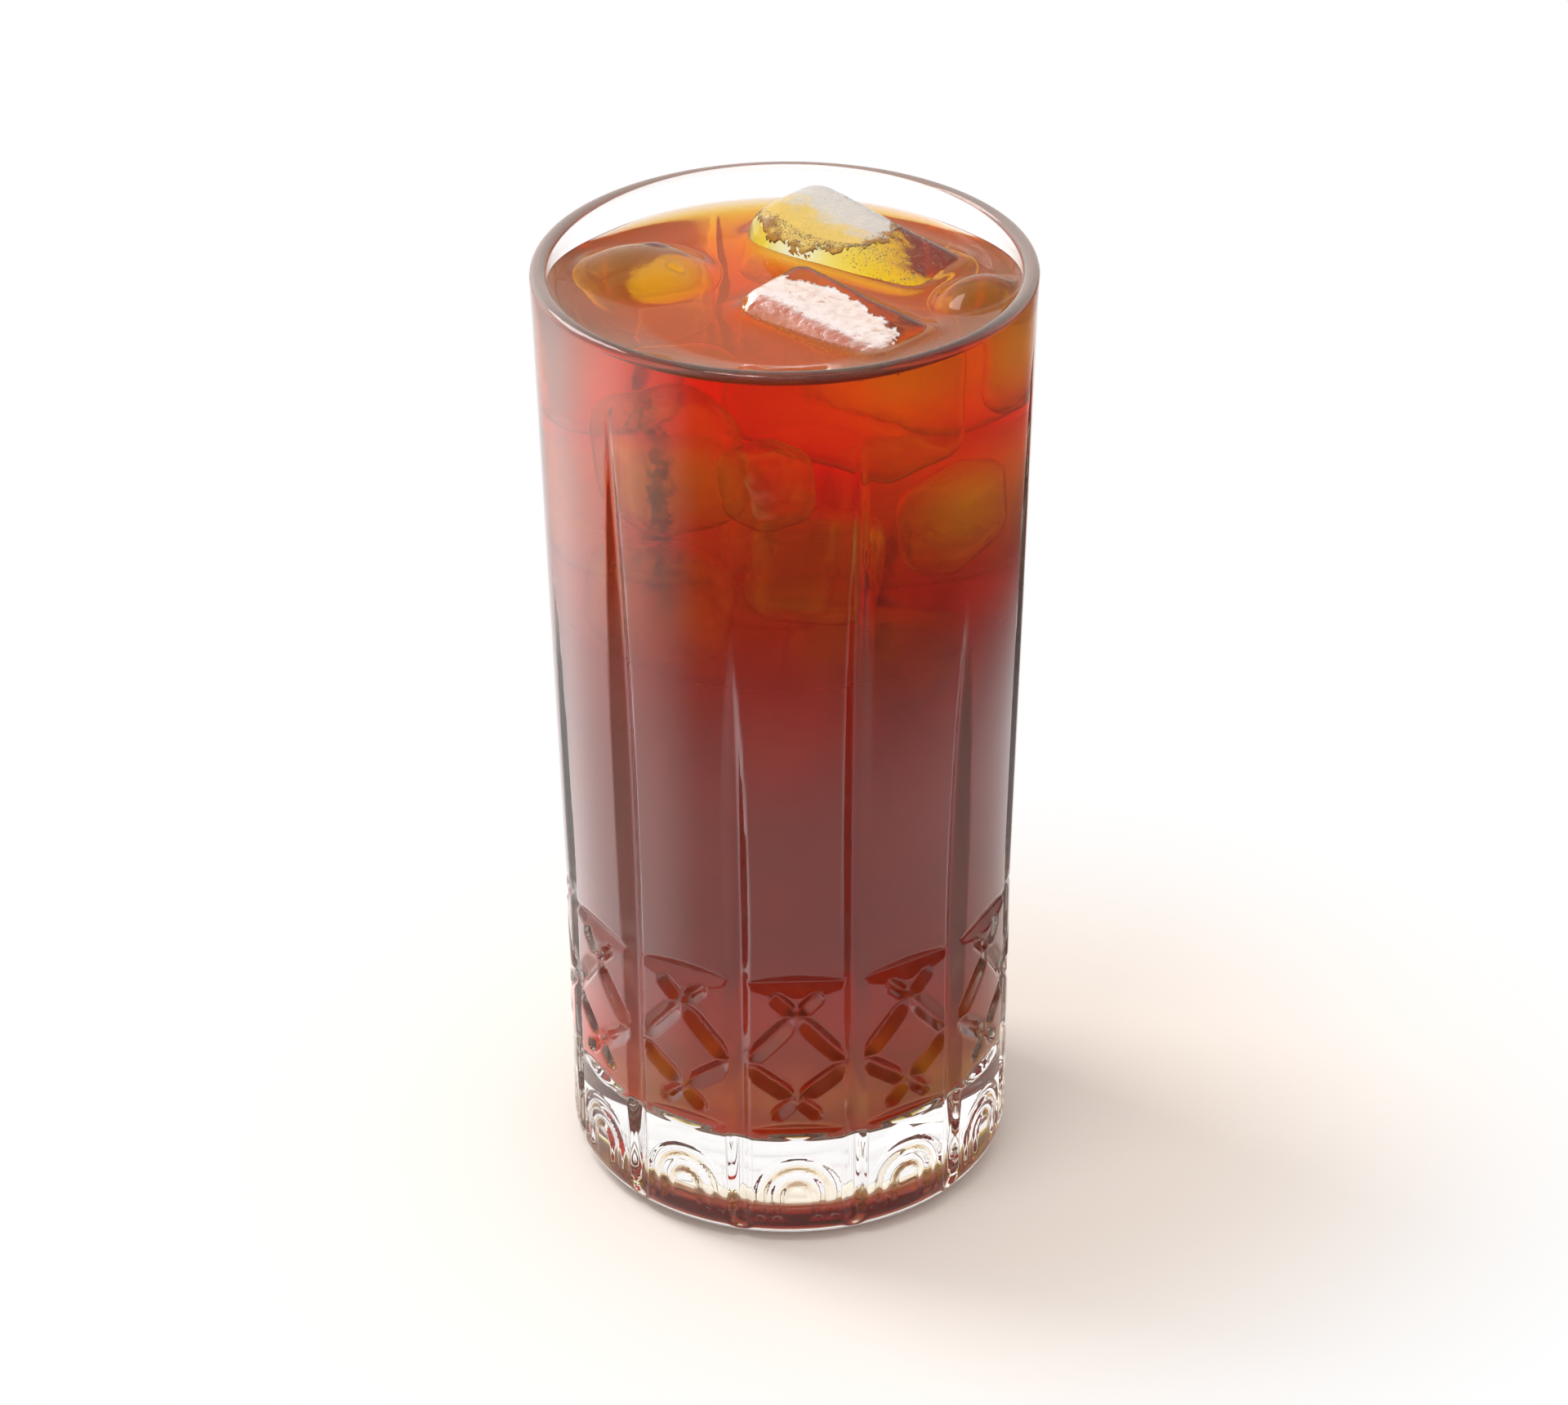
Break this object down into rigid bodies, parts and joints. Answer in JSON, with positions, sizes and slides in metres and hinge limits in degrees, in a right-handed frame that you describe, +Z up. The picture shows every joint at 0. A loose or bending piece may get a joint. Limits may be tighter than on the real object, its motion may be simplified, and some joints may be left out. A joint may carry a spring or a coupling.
{
  "type": "iced coffee",
  "caption": "Tall cut-pattern tumbler filled with clear black coffee, with blocks of ice standing out of the surface.",
  "frame": {"origin": "middle of the glass's foot, on the surface that it stands on", "axes": "+Z up along the glass's axis; -Y is the side seen from the front"},
  "size_m": [0.0736, 0.0736, 0.15],
  "materials": {
    "clear_glass": "clear, polished, with cut grooves",
    "coffee": "clear dark red-brown liquid",
    "ice": "wet, clear with a frosty skin"
  },
  "bodies": {
    "root": {"tumbler": "clear_glass", "coffee": "coffee", "ice_back": "ice", "ice_front": "ice", "ice_left": "ice", "ice_right": "ice"}
  },
  "joints": []
}
